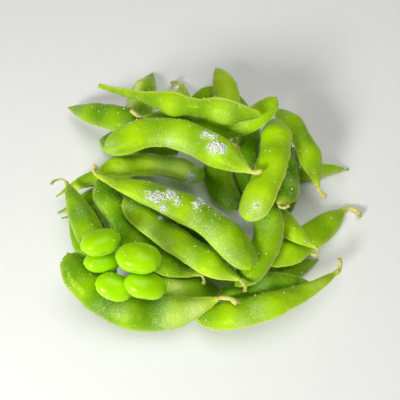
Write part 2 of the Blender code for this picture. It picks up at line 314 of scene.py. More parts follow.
class SaltSettings(bpy.types.PropertyGroup):
    """The salt that lies on the heap."""
    grain: length_setting("Grain", "Edge of a large grain", 0.95)
    flecks: bpy.props.FloatProperty(
        name="Flecks per square centimetre", description="Single grains away from the clumps",
        min=0, default=1.6)
    seed: bpy.props.IntProperty(name="Seed", description="Where the grains lie", default=11)
    colour: colour_setting("Colour", "The grains' colour", "#FFFFFA")


class StageSettings(bpy.types.PropertyGroup):
    """The floor, the lights and the camera."""
    floor: colour_setting("Floor", "The floor's colour", "#F2F2EE")
    key: bpy.props.FloatProperty(
        name="Key light", description="Power of the low window light", subtype="POWER",
        min=0, default=3.5)
    top: bpy.props.FloatProperty(
        name="Top light", description="Power of the broad light overhead", subtype="POWER",
        min=0, default=2.7)
    sky: bpy.props.FloatProperty(
        name="Sky", description="Strength of the even light all round", min=0, default=0.12)
    elevation: bpy.props.FloatProperty(
        name="Elevation", description="How steeply the camera looks down", subtype="ANGLE",
        default=math.radians(66.5))
    distance: length_setting("Distance", "From the camera to what it aims at", 175)
    lens: bpy.props.FloatProperty(
        name="Lens", description="The camera's focal length", subtype="DISTANCE_CAMERA",
        default=39.24)


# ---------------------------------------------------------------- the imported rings


def levels_from(start):
    """The vertices one, two and more edges away from a vertex."""
    seen = {start}
    levels = [[start]]
    while levels[-1]:
        beyond = []
        for vertex in levels[-1]:
            for edge in vertex.link_edges:
                other = edge.other_vert(vertex)
                if other not in seen:
                    seen.add(other)
                    beyond.append(other)
        levels.append(beyond)
    return levels[:-1]


def in_turn(level):
    """The corners of one ring in the order in which its edges join them."""
    members = set(level)
    turn = [level[0]]
    while len(turn) < len(level):
        joined = [edge.other_vert(turn[-1]) for edge in turn[-1].link_edges]
        turn.append(next(other for other in joined if other in members and other not in turn))
    return np.array([corner.co[:] for corner in turn])


def matched(ring, ahead, before, before_ahead):
    """The ring started and turned the same way as the one before it."""
    centre = ring.mean(axis=0)
    spin = Vector(before_ahead).rotation_difference(Vector(ahead)).to_matrix()
    wanted = (before - before.mean(axis=0)) @ np.array(spin).T
    best = None
    for way in (ring, ring[::-1]):
        for start in range(CORNERS):
            tried = np.roll(way, start, axis=0)
            miss = np.linalg.norm(tried - centre - wanted)
            if best is None or miss < best[0]:
                best = (miss, tried)
    return best[1]


def stem_to_tip(rings):
    """The rings from the stem, whose end is the thicker one, to the tip."""
    first = np.linalg.norm(rings[0] - rings[0].mean(axis=0), axis=1).mean()
    last = np.linalg.norm(rings[-1] - rings[-1].mean(axis=0), axis=1).mean()
    return rings if first > last else rings[::-1]


def edge_first(rings):
    """The rings with corners 0 and HALF on the two edges, and QUARTER upward."""
    body = rings[-BODY_RINGS:]
    widths = [np.linalg.norm(body[:, start] - body[:, start + HALF], axis=1).sum()
              for start in range(HALF)]
    turned = np.roll(rings, -int(np.argmax(widths)), axis=1)
    ahead = turned[-1].mean(axis=0) - turned[0].mean(axis=0)
    across = (turned[:, 0] - turned[:, HALF]).sum(axis=0)
    upward = (turned[:, QUARTER] - turned[:, QUARTER + HALF]).sum(axis=0)
    if np.dot(np.cross(ahead, across), upward) < 0:
        turned = np.roll(turned[:, ::-1], 1, axis=1)
        upward = -upward
    if upward[2] < 0:
        turned = np.roll(turned, HALF, axis=1)
    return turned


def packed_rings(node):
    """A node's cross-sections from stem to tip, each with its corners in turn."""
    solid = bmesh.new()
    solid.from_mesh(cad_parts[node].data)
    bmesh.ops.remove_doubles(solid, verts=solid.verts, dist=WELD)
    poles = [vertex for vertex in solid.verts if len(vertex.link_edges) == CORNERS]
    walks = [levels_from(pole) for pole in poles]
    walk = next(levels for levels in walks if all(len(level) == CORNERS for level in levels[1:-1]))
    rings = [in_turn(level) for level in walk[1:-1]]
    solid.free()
    centres = np.array([ring.mean(axis=0) for ring in rings])
    ahead = np.gradient(centres, axis=0)
    for place in range(1, len(rings)):
        rings[place] = matched(rings[place], ahead[place], rings[place - 1], ahead[place - 1])
    return edge_first(stem_to_tip(np.array(rings)))


# ---------------------------------------------------------------- growing


def spline(values, places):
    """Values at fractional places on the Catmull-Rom curve through the given ones."""
    left = np.clip(places.astype(int), 0, len(values) - 2)
    part = (places - left)[:, None]
    padded = np.vstack([2 * values[0] - values[1], values, 2 * values[-1] - values[-2]])
    a, b, c, d = (padded[left + shift] for shift in range(4))
    bend = 2 * a - 5 * b + 4 * c - d
    twist = 3 * b - a - 3 * c + d
    return 0.5 * (2 * b + (c - a) * part + bend * part ** 2 + twist * part ** 3)


def soft_noise(points, wavelength, seed):
    """A smooth random height at each point, about -1 to 1."""
    random = np.random.default_rng(seed)
    direction = random.normal(size=(NOISE_WAVES, 3))
    direction /= np.linalg.norm(direction, axis=1)[:, None]
    stretch = random.uniform(*NOISE_STRETCH, NOISE_WAVES)
    phase = random.uniform(0, 2 * math.pi, NOISE_WAVES)
    angle = points @ (direction * stretch[:, None]).T * (2 * math.pi / wavelength) + phase
    return np.sin(angle).sum(axis=-1) / math.sqrt(NOISE_WAVES)


def hump(distance, width):
    """1 at no distance, fading smoothly over the width."""
    return np.exp(-(distance / width) ** 2)


def ramp(value, low, high):
    """0 up to low, 1 from high, and smooth between."""
    part = np.clip((value - low) / (high - low), 0, 1)
    return part * part * (3 - 2 * part)


def seed_of(node):
    """A number of the node's own, the same in every run."""
    return sum(place * ord(letter) for place, letter in enumerate(node, 1))


class Loft:
    """Fine rings drawn through a node's packed ones."""

    def __init__(self, node, steps, sides, crowding):
        rings = packed_rings(node)
        beak = 0 if node in BEANS else 1
        stalk = len(rings) - BODY_RINGS - beak
        tip_ring = len(rings) - 1 - beak
        self.stalked = stalk > 0
        places = np.concatenate([
            np.linspace(0, stalk, STALK_STEPS * stalk, endpoint=False),
            np.linspace(stalk, tip_ring, (BODY_RINGS - 1) * steps, endpoint=False),
            np.linspace(tip_ring, len(rings) - 1, 1 + BEAK_STEPS * beak)])
        self.centre = spline(rings.mean(axis=1), places)[:, None]
        halves = [(rings[:, side] - rings[:, side + HALF]) / 2 for side in (0, QUARTER)]
        sizes = np.stack([np.linalg.norm(half, axis=1) for half in halves], axis=1)
        self.across, self.upward = (spline(half, places)[:, None] for half in halves)
        self.across /= np.linalg.norm(self.across, axis=2, keepdims=True)
        self.upward /= np.linalg.norm(self.upward, axis=2, keepdims=True)
        # A blunt end stays round if it is the squares of its sizes that are smoothed.
        sizes = np.sqrt(np.maximum(spline(sizes ** 2, places), LEAST_RADIUS ** 2))
        self.wide, self.thick = sizes[:, :1], sizes[:, 1:]
        turn = np.linspace(0, 2 * math.pi, sides, endpoint=False)
        self.angle = turn - crowding * np.sin(2 * turn)
        run = np.linalg.norm(np.diff(self.centre[:, 0], axis=0), axis=1)
        run = np.concatenate([[0], np.cumsum(run)])[:, None]
        self.body_start = STALK_STEPS * stalk
        body_end = self.body_start + (BODY_RINGS - 1) * steps
        self.past_joint = run - run[self.body_start]
        self.body_length = float(run[body_end] - run[self.body_start])
        self.before_tip = self.body_length - self.past_joint
        self.from_end = run
        self.ahead = np.gradient(self.centre[:, 0], axis=0)
        self.ahead /= np.linalg.norm(self.ahead, axis=1)[:, None]

    def placed(self, x, z):
        """The point x across and z up from the centre of each ring."""
        return self.centre + x[..., None] * self.across + z[..., None] * self.upward

    def outward(self):
        """The direction straight out of the skin at each point."""
        x = np.cos(self.angle) / self.wide
        z = np.sin(self.angle) / self.thick
        size = np.hypot(x, z)
        return (x / size)[..., None] * self.across + (z / size)[..., None] * self.upward

    def ends(self, points, shape, forward):
        """The rings that close one end, from its pole, and the pole itself."""
        ring = points[0] if forward < 0 else points[-1]
        out = forward * (self.ahead[0] if forward < 0 else self.ahead[-1])
        middle = ring.mean(axis=0)
        radius = np.linalg.norm(ring - middle, axis=1).mean()
        rings = [middle + girth * (ring - middle) + reach * radius * out for girth, reach in shape]
        pole = middle + shape[0][1] * radius * out
        return np.array(rings), pole

    def skin(self, name, points, values, stem_shape):
        """A closed mesh through the points, with each named value on its vertices."""
        stem, stem_pole = self.ends(points, stem_shape, -1)
        tip, tip_pole = self.ends(points, DOME, 1)
        rings = np.concatenate([stem, points, tip[::-1]])
        count, sides = rings.shape[:2]
        index = np.arange(count * sides).reshape(count, sides)
        low, high = index[:-1], index[1:]
        quads = np.stack([low, np.roll(low, -1, 1), np.roll(high, -1, 1), high], axis=-1)
        first = [(count * sides, b, a) for a, b in zip(index[0], np.roll(index[0], -1))]
        last = [(count * sides + 1, a, b) for a, b in zip(index[-1], np.roll(index[-1], -1))]
        mesh = bpy.data.meshes.new(name)
        corners = [*rings.reshape(-1, 3), stem_pole, tip_pole]
        mesh.from_pydata(corners, [], [*quads.reshape(-1, 4).tolist(), *first, *last])
        for title, value in values.items():
            full = np.broadcast_to(value, (*points.shape[:2], *value.shape[2:]))
            full = np.concatenate([full[:1]] * len(stem) + [full] + [full[-1:]] * len(tip))
            full = full.reshape(count * sides, -1)
            full = np.concatenate([full, full[:1], full[-1:]]).astype(np.float32)
            vector = full.shape[1] == 3
            layer = mesh.attributes.new(title, "FLOAT_VECTOR" if vector else "FLOAT", "POINT")
            layer.data.foreach_set("vector" if vector else "value", full.ravel())
        mesh.shade_smooth()
        return mesh


def patches_on(loft, points, patches):
    """The sum of some patches at each point, each fading out over its radius."""
    total = np.zeros(points.shape[:2])
    for along, across, radius, strength in patches:
        ring = int(np.argmin(np.abs(loft.past_joint[:, 0] / loft.body_length - along)))
        side = int(np.argmin(np.abs(loft.angle - math.acos(across))))
        distance = np.linalg.norm(points - points[ring, side], axis=-1)
        total += strength * hump(distance, radius * MM)
    return total


def salt_on(node, loft, points):
    """How thickly the grains of the clumps lie on each point, per square metre."""
    clumps = [(along, across, radius, grains / (math.pi * (radius * MM) ** 2))
              for along, across, radius, grains in SALT_CLUMPS.get(node, ())]
    return patches_on(loft, points, clumps)


def pod_mesh(node, sizes):
    """One pod's skin with its seams, swellings, stalk and tip."""
    loft = Loft(node, sizes.steps, sizes.sides, SEAM_CROWDING)
    seed = seed_of(node)
    cosine, sine = np.cos(loft.angle), np.sin(loft.angle)
    in_body = ramp(loft.past_joint, 0, STEM_FADE) * ramp(loft.before_tip, 0, TIP_FADE)
    places = np.array(OTHER_BEAN_PLACES.get(node, BEAN_PLACES)) * loft.body_length
    over_bean = hump(loft.past_joint - places, BEAN_REACH).sum(axis=1, keepdims=True)
    # Between its beans a pod is a thinner, flatter lens; over them it is full and round.
    between = in_body * (1 - np.clip(over_bean, 0, 1))
    flatness = 1 + FLATTER_BETWEEN * between
    x = loft.wide * cosine
    z = loft.thick * (1 - BEAN_DIP * between) * np.sign(sine) * np.abs(sine) ** flatness
    points = loft.placed(x, z)
    # A bead runs along each edge where the halves meet, bolder on one of them.
    bead = hump(z, sizes.seam_width) * np.where(cosine > 0, 1.0, SLIGHT_SEAM) * in_body
    edge = hump(z, EDGE_REACH) * in_body
    unevenness = 1 + SEAM_UNEVENNESS * soft_noise(points, SEAM_WAVE, seed)
    height = sizes.seam_height * bead * unevenness
    furrow = hump(np.abs(z) - FURROW_PLACE * sizes.seam_width, sizes.seam_width) * in_body
    height = height - FURROW_DEPTH * sizes.seam_height * furrow
    small_dents = SMALL_DENTS * soft_noise(points, SMALL_DENT_WAVE, seed + 2)
    dents = soft_noise(points, DENT_WAVE, seed + 1) + small_dents
    height = height + DENT_SHARE * sizes.relief * dents * in_body
    # Puckers run lengthwise where the body draws in to its stalk and its tip.
    drawn_in = hump(loft.past_joint, STEM_PUCKERS) + hump(loft.before_tip, TIP_PUCKERS)
    wander = PUCKER_WANDER * soft_noise(points, PUCKER_WAVE, seed + 3)
    pucker = np.sin(PUCKERS * loft.angle + wander)
    height = height + PUCKER_HEIGHT * pucker * drawn_in * in_body
    on_stalk = (1 - ramp(loft.past_joint, *STALK_JOINT)) * loft.stalked
    collar = hump(loft.past_joint, COLLAR_WIDTH) * loft.stalked
    knots = soft_noise(points, KNOT_WAVE, seed + 4)
    height = height + on_stalk * KNOT_HEIGHT * knots + COLLAR_HEIGHT * collar
    torn = 1 - ramp(loft.from_end, *TORN_END)
    dry_tip = 1 - ramp(loft.from_end[-1] - loft.from_end, *DRY_TIP)
    joint = hump(loft.past_joint + JOINT_LINE, JOINT_LINE_WIDTH) * loft.stalked
    scar = TORN_BROWN * torn + joint * (JOINT_BROWN + KNOT_BROWN * knots)
    scar = np.maximum(np.clip(scar, 0, 1), TIP_BROWN * dry_tip)
    points = points + loft.outward() * height[..., None]
    values = {
        "seam": bead,
        "edge": edge,
        "stalk": on_stalk,
        "scar": scar,
        "neck": hump(loft.past_joint, NECK_REACH) * loft.stalked,
        # Where painted glints and painted light are laid on the skin.
        "bloom": patches_on(loft, points, PAINTED_GLINT_PATCHES.get(node, ())),
        "wan": patches_on(loft, points, PAINTED_LIGHT_PATCHES.get(node, ())),
        # Painted shade: each pod's own green, deepened for pods low in the heap, and deeper
        # between its beans.
        "depth": GREEN_AND_PAINTED_SHADE[node] + PAINTED_SHADE_BETWEEN * between,
        "salt": salt_on(node, loft, points),
        "lie": loft.ahead[:, None],
        "grain": np.stack([loft.past_joint + 0 * z, x, z], axis=-1),
        "downy": 1 - on_stalk,
    }
    return loft.skin(node + "_skin", points, values, HOLLOW if loft.stalked else DOME)


def bean_mesh(node, sizes):
    """One shelled bean: plump, a little uneven, with its scar on one edge."""
    loft = Loft(node, sizes.steps, sizes.sides, 0)
    seed = seed_of(node)
    cosine, sine = np.cos(loft.angle), np.sin(loft.angle)
    middle = loft.past_joint - loft.body_length / 2
    wide, thick = loft.wide.max(), loft.thick.max()
    reach = np.abs(middle) / (loft.body_length / 2 + BEAN_OVERRUN * wide)
    girth = (1 - reach ** BEAN_BLUNTNESS) ** (1 / BEAN_BLUNTNESS)
    x = wide * girth * np.sign(cosine) * np.abs(cosine) ** BEAN_SQUARENESS
    z = thick * girth * np.sign(sine) * np.abs(sine) ** BEAN_SQUARENESS
    points = loft.placed(x, z)
    hilum = hump(middle, SLIT_LENGTH) * hump(z, SLIT_WIDTH) * (cosine < 0)
    lips = hump(middle, LIP_LENGTH) * hump(np.abs(z) - LIP_PLACE, LIP_WIDTH) * (cosine < 0)
    split = hump(z, SPLIT_WIDTH) * (1 - hump(middle, SPLIT_START))
    height = sizes.unevenness * soft_noise(points, BEAN_WAVE, seed)
    height = height + MM * (LIP_HEIGHT * lips - SLIT_DEPTH * hilum - SPLIT_DEPTH * split)
    points = points + loft.outward() * height[..., None]
    values = {
        "hilum": hilum,
        "salt": salt_on(node, loft, points),
    }
    return loft.skin(node + "_skin", points, values, DOME)


# ---------------------------------------------------------------- materials


def add_node(tree, kind, inputs=None, **settings):
    """A new node with its settings, and its inputs set or linked."""
    node = tree.nodes.new(kind)
    for name, value in settings.items():
        setattr(node, name, value)
    for name, value in (inputs or {}).items():
        if isinstance(value, bpy.types.NodeSocket):
            tree.links.new(value, node.inputs[name])
        else:
            node.inputs[name].default_value = value
    return node


class Finish:
    """A material's tree, its shader and the patterns that are drawn in it."""

    def __init__(self, name, constants):
        self.material = bpy.data.materials.new(name)
        self.material.use_nodes = True
        self.tree = self.material.node_tree
        self.shader = self.tree.nodes["Principled BSDF"]
        self.place = add_node(self.tree, "ShaderNodeTexCoord").outputs["Object"]
        for title, value in constants.items():
            self.shader.inputs[title].default_value = value

    def noise(self, size, detail=2.0, vector=None):
        """A soft random pattern whose patches are size millimetres across."""
        inputs = {"Vector": vector or self.place, "Scale": 1 / (size * MM), "Detail": detail}
        return add_node(self.tree, "ShaderNodeTexNoise", inputs).outputs[0]

    def value(self, title, output="Fac"):
        """One of the values that the skin's points carry."""
        return add_node(self.tree, "ShaderNodeAttribute", attribute_name=title).outputs[output]

    def maths(self, operation, *values):
        """The result of one sum, product or other operation, kept from 0 to 1."""
        inputs = dict(enumerate(values))
        settings = {"operation": operation, "use_clamp": True}
        return add_node(self.tree, "ShaderNodeMath", inputs, **settings).outputs[0]

    def mixed(self, amount, first, second):
        """The second colour mixed into the first."""
        inputs = {0: amount, 6: first, 7: second}
        return add_node(self.tree, "ShaderNodeMix", inputs, data_type="RGBA").outputs[2]

    def link(self, title, output):
        """Feed one of the shader's inputs."""
        self.tree.links.new(output, self.shader.inputs[title])

    def rough(self, pattern, least, spread):
        """Roughness from its least up, as the pattern goes from 0 to 1."""
        self.link("Roughness", self.maths("MULTIPLY_ADD", pattern, spread, least))

    def relief(self, height, depth):
        """Fine bumps, as deep as depth millimetres where the height is 1."""
        inputs = {"Height": height, "Distance": depth * MM}
        self.link("Normal", add_node(self.tree, "ShaderNodeBump", inputs).outputs[0])


# Patterns on a pod, by the distance in millimetres from one patch to the next:
# patches a bean long, a mottle, the pimples that hairs stand on, a grain finer than
# those, creases drawn out across the pod, specks of painted glint, and a stalk's browning.
PATCH, MOTTLE, PIMPLE, GRAIN, CREASE, SPECK, BROWNING = 13, 2.2, 0.8, 0.5, 1.2, 0.55, 1.4
CREASE_STRETCH = 4.5
PIMPLE_SHARPNESS = 1.6

# The value about which a noise texture varies.
NOISE_MIDDLE = 0.5

# How far the patches deepen the green, and how pale the speckles, edges, seams, painted
# light patches and neck of a pod are.
PATCH_DEPTH = 0.9
PALE_SPECKLE, PALE_EDGE, PALE_SEAM, PALE_PAINTED_LIGHT, PALE_NECK = 0.4, 0.5, 0.5, 0.75, 0.45

# How white the palest of the painted light patches turn, and any skin under painted
# glint, as painted highlight; how sharp the specks of painted glint are and how few; and how
# white the specks make the skin under painted glint and all over, and how white the skin is
# for each grain of salt to a square metre.
WHITE_PAINTED_LIGHT, WHITE_FROM, WHITE_PAINTED_GLINT = 0.8, -0.55, 0.2
SPECK_SHARPNESS, SPECK_FROM = 5, -2.6
PAINTED_GLINT_IN_PATCHES, PAINTED_GLINT_ALL_OVER, FROST_SALT = 0.95, 0.04, 4e-7

# A stalk's browning is sharpened, and weak beside that of a scar.
BROWN_SHARPNESS, BROWN_FROM, BROWN_STALK, BROWN_SCAR = 2, -0.9, 0.15, 0.8

# Each pattern's share of the fine relief, and the depth of that in millimetres.
MOTTLE_RELIEF, CREASE_RELIEF, PIMPLE_RELIEF = 0.25, 0.3, 0.16
GRAIN_RELIEF, GLINT_AND_SALT_RELIEF = 0.08, 0.4
POD_RELIEF = 0.4

# Patterns on a bean, in millimetres, how far the broad one shows in its colour, the
# fine one's share of its relief, and the depth of that in millimetres.
CLOUD, FINE_CLOUD = 6, 1.1
CLOUD_STRENGTH = 0.5
FINE_SHARE, BEAN_RELIEF = 0.5, 0.12

# Patterns on the hairs, the grains and the floor, in millimetres, and how far the
# colour of a hair and of a grain is dimmed by them.
HAIR_PATCH, GRAIN_CLOUD, FLOOR_PATCH = 4, 0.6, 30
DIM_HAIR, DIM_GRAIN = 0.8, 0.97


def pod_finish(sizes):
    """Blanched soybean pod: a thin waxy skin under fine down.

    Steam leaves it bright and moist.  It has a satin gloss that breaks into
    glints over the pimples that the hairs stand on, and a pale band along
    the edges, where the down is thickest.  Painted light, painted highlights and
    specks of painted glint are laid over its colour in patches, and painted shade
    deepens its green between the beans and on the pods low in the heap.
    """
    skin = Finish("blanched_pod_skin", {
        "IOR": 1.42, "Specular IOR Level": 0.4, "Specular Tint": (0.85, 1, 0.1, 1),
        "Subsurface Weight": 0.12, "Subsurface Scale": 2 * MM,
        "Subsurface Radius": (0.5, 1.0, 0.02),
        "Sheen Weight": 0.04, "Sheen Roughness": 0.35, "Sheen Tint": (0.8, 1, 0.1, 1)})
    patches = skin.noise(PATCH)
    mottle = skin.noise(MOTTLE, 3)
    grain = skin.noise(GRAIN)
    inputs = {"Vector": skin.place, "Scale": 1 / (PIMPLE * MM)}
    pimples = add_node(skin.tree, "ShaderNodeTexVoronoi", inputs).outputs["Distance"]
    pimples = skin.maths("SUBTRACT", 1, skin.maths("MULTIPLY", pimples, PIMPLE_SHARPNESS))
    stretched = {
        "Vector": skin.value("grain", "Vector"), "Scale": (1, CREASE_STRETCH, CREASE_STRETCH)}
    stretched = add_node(skin.tree, "ShaderNodeMapping", stretched, vector_type="TEXTURE")
    creases = skin.noise(CREASE, 2, stretched.outputs[0])
    specks = skin.maths("MULTIPLY_ADD", skin.noise(SPECK, 1), SPECK_SHARPNESS, SPECK_FROM)
    # The darker half of the patches deepens each pod's green, which is partly its own and partly
    # painted shade for pods low in the heap and between the beans.
    depth = skin.maths("MULTIPLY_ADD", patches, PATCH_DEPTH, -PATCH_DEPTH * NOISE_MIDDLE)
    depth = skin.maths("ADD", skin.value("depth"), depth)
    speckle = skin.maths("MULTIPLY", skin.maths("SUBTRACT", mottle, NOISE_MIDDLE), PALE_SPECKLE)
    edge = skin.maths("MULTIPLY", skin.value("edge"), skin.maths("MULTIPLY", creases, PALE_EDGE))
    seam = skin.maths("MULTIPLY", skin.value("seam"), PALE_SEAM)
    # Painted light: the skin painted paler where light falls on it; the neck is paler of its own.
    wan = skin.maths("MULTIPLY", skin.value("wan"), PALE_PAINTED_LIGHT)
    wan = skin.maths("MULTIPLY_ADD", skin.value("neck"), PALE_NECK, wan)
    # Painted highlight: the strongest painted light patches and the painted glint patches turn
    # white.
    painted_highlight = skin.maths("MULTIPLY_ADD", skin.value("wan"), WHITE_PAINTED_LIGHT, WHITE_FROM)
    painted_highlight = skin.maths("MULTIPLY_ADD", skin.value("bloom"), WHITE_PAINTED_GLINT, painted_highlight)
    # Painted glints: white specks where the skin has painted glint patches, and faintly all over;
    # under the salt clumps the skin is whitened evenly.
    painted_glints_and_salt_white = skin.maths("MULTIPLY_ADD", skin.value("bloom"), PAINTED_GLINT_IN_PATCHES, PAINTED_GLINT_ALL_OVER)
    painted_glints_and_salt_white = skin.maths("MULTIPLY", specks, painted_glints_and_salt_white)
    painted_glints_and_salt_white = skin.maths("MULTIPLY_ADD", skin.value("salt"), FROST_SALT, painted_glints_and_salt_white)
    browned = skin.maths("MULTIPLY_ADD", skin.noise(BROWNING), BROWN_SHARPNESS, BROWN_FROM)
    browned = skin.maths("MULTIPLY", skin.value("stalk"), browned)
    scar = skin.maths("MULTIPLY", skin.value("scar"), BROWN_SCAR)
    browned = skin.maths("MULTIPLY_ADD", browned, BROWN_STALK, scar)
    colour = skin.mixed(depth, opaque(sizes.fresh), opaque(sizes.deep))
    for amount, tint in (
            (speckle, sizes.pale), (edge, sizes.pale), (seam, sizes.pale), (wan, sizes.pale),
            (painted_highlight, sizes.painted_glint_and_salt_white), (painted_glints_and_salt_white, sizes.painted_glint_and_salt_white),
            (skin.value("stalk"), sizes.stalk), (browned, sizes.scar)):
        colour = skin.mixed(amount, colour, opaque(tint))
    skin.link("Base Color", colour)
    skin.rough(mottle, least=0.18, spread=0.3)
    height = skin.maths("MULTIPLY", mottle, MOTTLE_RELIEF)
    for pattern, share in (
            (creases, CREASE_RELIEF), (pimples, PIMPLE_RELIEF), (grain, GRAIN_RELIEF),
            (painted_glints_and_salt_white, GLINT_AND_SALT_RELIEF)):
        height = skin.maths("MULTIPLY_ADD", pattern, share, height)
    skin.relief(height, POD_RELIEF)
    return skin.material


def bean_finish(sizes):
    """Cooked soybean out of its pod: smooth, moist and a little see-through."""
    skin = Finish("cooked_bean_skin", {
        "IOR": 1.42, "Specular Tint": (0.95, 1, 0.3, 1), "Subsurface Weight": 0.25,
        "Subsurface Scale": 3 * MM, "Subsurface Radius": (0.5, 1.0, 0.05),
        "Coat Weight": 0.12, "Coat Roughness": 0.06})
    clouds = skin.noise(CLOUD)
    fine = skin.noise(FINE_CLOUD, 3)
    cloudy = skin.maths("MULTIPLY", clouds, CLOUD_STRENGTH)
    colour = skin.mixed(cloudy, opaque(sizes.flesh), opaque(sizes.edge))
    colour = skin.mixed(skin.value("hilum"), colour, opaque(sizes.scar))
    skin.link("Base Color", colour)
    skin.rough(fine, least=0.16, spread=0.16)
    skin.relief(skin.maths("MULTIPLY_ADD", fine, FINE_SHARE, clouds), BEAN_RELIEF)
    return skin.material


def down_finish(sizes):
    """Plant hair: dry, pale and dull."""
    hair = Finish("pod_down", {"Roughness": 0.6, "Sheen Weight": 0.2})
    patches = hair.noise(HAIR_PATCH)
    tint = hair.mixed(patches, opaque(sizes.colour), opaque(sizes.colour, DIM_HAIR))
    hair.link("Base Color", tint)
    return hair.material


def salt_finish(sizes):
    """Coarse cooking salt: clear crystals that scatter light where they are cracked."""
    grain = Finish("coarse_salt", {
        "IOR": 1.54, "Subsurface Weight": 0.5, "Subsurface Scale": 1.5 * MM,
        "Subsurface Radius": (1, 1, 1)})
    cloudy = grain.noise(GRAIN_CLOUD, 3)
    tint = grain.mixed(cloudy, opaque(sizes.colour), opaque(sizes.colour, DIM_GRAIN))
    grain.link("Base Color", tint)
    grain.rough(cloudy, least=0.1, spread=0.4)
    return grain.material


def floor_finish(sizes):
    """Plain pale board with a dull face."""
    board = Finish("pale_board", {"Base Color": opaque(sizes.floor)})
    board.rough(board.noise(FLOOR_PATCH), least=0.65, spread=0.1)
    return board.material


# ---------------------------------------------------------------- scattering


# How thickly hairs stand anywhere and how much more so at the seams; how far a hair
# leans to the tip, stands out and strays; its corners; and its least and greatest
# length as shares of the setting.
HAIR_ANYWHERE, HAIR_AT_SEAM = 0.15, 0.8
HAIR_FORWARD, HAIR_OUTWARD, HAIR_ASTRAY = 0.85, 0.45, 0.35
HAIR_CORNERS = 3
HAIR_LENGTHS = (0.5, 1.2)

# Grains to a square metre from which they are a clump; how high a grain lies, and how
# much higher one in a clump may; the size of a lone grain, and how much larger one in
# a clump is.  Heights and sizes are in grains.
CLUMP_FROM = 8e5
GRAIN_LIFT, CLUMP_LIFT = 0.25, 0.5
LONE_GRAIN, CLUMP_GROWTH = 0.6, 0.4

# A grain's radius, how far its three sizes spread about their middle, and the bumps
# that make it uneven: their length in millimetres and their height in grains.
GRAIN_RADIUS = 0.6
GRAIN_MIDDLE, GRAIN_SPREAD = 0.8, 0.4
GRAIN_BUMP, GRAIN_BUMP_HEIGHT = 0.5, 0.6

# A grain stays where the skin's normal points up by this much, and where nothing
# lies above it from the first of these heights to the second.
LEAST_UPWARD = 0.3
SKY_FROM, SKY_REACH = 0.5 * MM, 0.1


class Scatter:
    """A geometry tree that strews small shapes over the skins of the heap."""

    def __init__(self, name, skins, material, seed, numbers):
        inputs = {
            "Skins": ("NodeSocketCollection", skins),
            "Material": ("NodeSocketMaterial", material),
            **{title: ("NodeSocketFloat", number) for title, number in numbers.items()},
            "Seed": ("NodeSocketInt", seed),
        }
        self.tree = bpy.data.node_groups.new(name, "GeometryNodeTree")
        sockets = self.tree.interface
        self.values = {}
        for title, (kind, value) in inputs.items():
            socket = sockets.new_socket(title, in_out="INPUT", socket_type=kind)
            self.values[socket.identifier] = value
        sockets.new_socket("Geometry", in_out="OUTPUT", socket_type="NodeSocketGeometry")
        self.given = self.node("NodeGroupInput").outputs
        gathered = self.node("GeometryNodeCollectionInfo", {"Collection": self.given["Skins"]})
        self.skins = self.node("GeometryNodeRealizeInstances", {0: gathered.outputs[0]}).outputs[0]

    def node(self, kind, inputs=None, **settings):
        """A node of this tree."""
        return add_node(self.tree, kind, inputs, **settings)

    def carried(self, title, kind="FLOAT"):
        """One of the values that the skins' points carry."""
        inputs = {"Name": title}
        return self.node("GeometryNodeInputNamedAttribute", inputs, data_type=kind).outputs[0]

    def maths(self, operation, *values):
        """The result of one sum, product or other operation."""
        return self.node("ShaderNodeMath", dict(enumerate(values)), operation=operation).outputs[0]

    def scaled(self, vector, amount):
        """A vector made longer or shorter."""
        inputs = {0: vector, "Scale": amount}
        return self.node("ShaderNodeVectorMath", inputs, operation="SCALE").outputs[0]

    def summed(self, first, second):
        """Two vectors added."""
        inputs = {0: first, 1: second}
        return self.node("ShaderNodeVectorMath", inputs, operation="ADD").outputs[0]

    def random(self, low, high, seed):
        """A random number for each point."""
        inputs = {2: low, 3: high, "Seed": seed}
        return self.node("FunctionNodeRandomValue", inputs, data_type="FLOAT").outputs[1]

    def random_vector(self, reach, seed):
        """A random vector for each point, up to reach either way along each axis."""
        inputs = {0: (-reach,) * 3, 1: (reach,) * 3, "Seed": seed}
        return self.node("FunctionNodeRandomValue", inputs, data_type="FLOAT_VECTOR").outputs[0]

    def spots(self, density):
        """Points at random over the skins, so many to a square metre."""
        inputs = {"Mesh": self.skins, "Density": density, "Seed": self.given["Seed"]}
        kind = "GeometryNodeDistributePointsOnFaces"
        return self.node(kind, inputs, distribute_method="RANDOM").outputs

    def moved(self, geometry, offset):
        """The geometry with its points moved."""
        inputs = {"Geometry": geometry, "Offset": offset}
        return self.node("GeometryNodeSetPosition", inputs).outputs[0]

    def strewn(self, name, points, shape, turn, size, nudge=None):
        """The finished piece: the shape at every point, as one plain mesh."""
        inputs = {"Points": points, "Instance": shape, "Rotation": turn, "Scale": size}
        laid = self.node("GeometryNodeInstanceOnPoints", inputs).outputs[0]
        mesh = self.node("GeometryNodeRealizeInstances", {0: laid}).outputs[0]
        if nudge is not None:
            mesh = self.moved(mesh, nudge)
        painted = {"Geometry": mesh, "Material": self.given["Material"]}
        painted = self.node("GeometryNodeSetMaterial", painted)
        self.node("NodeGroupOutput", {0: painted.outputs[0]})
        piece = bpy.data.objects.new(name, bpy.data.meshes.new(name))
        bpy.context.scene.collection.objects.link(piece)
        modifier = piece.modifiers.new(name, "NODES")
        modifier.node_group = self.tree
        for identifier, value in self.values.items():
            modifier[identifier] = value
        made = piece.evaluated_get(bpy.context.evaluated_depsgraph_get())
        mesh = bpy.data.meshes.new_from_object(made)
        piece.modifiers.clear()
        piece.data = mesh
        return piece


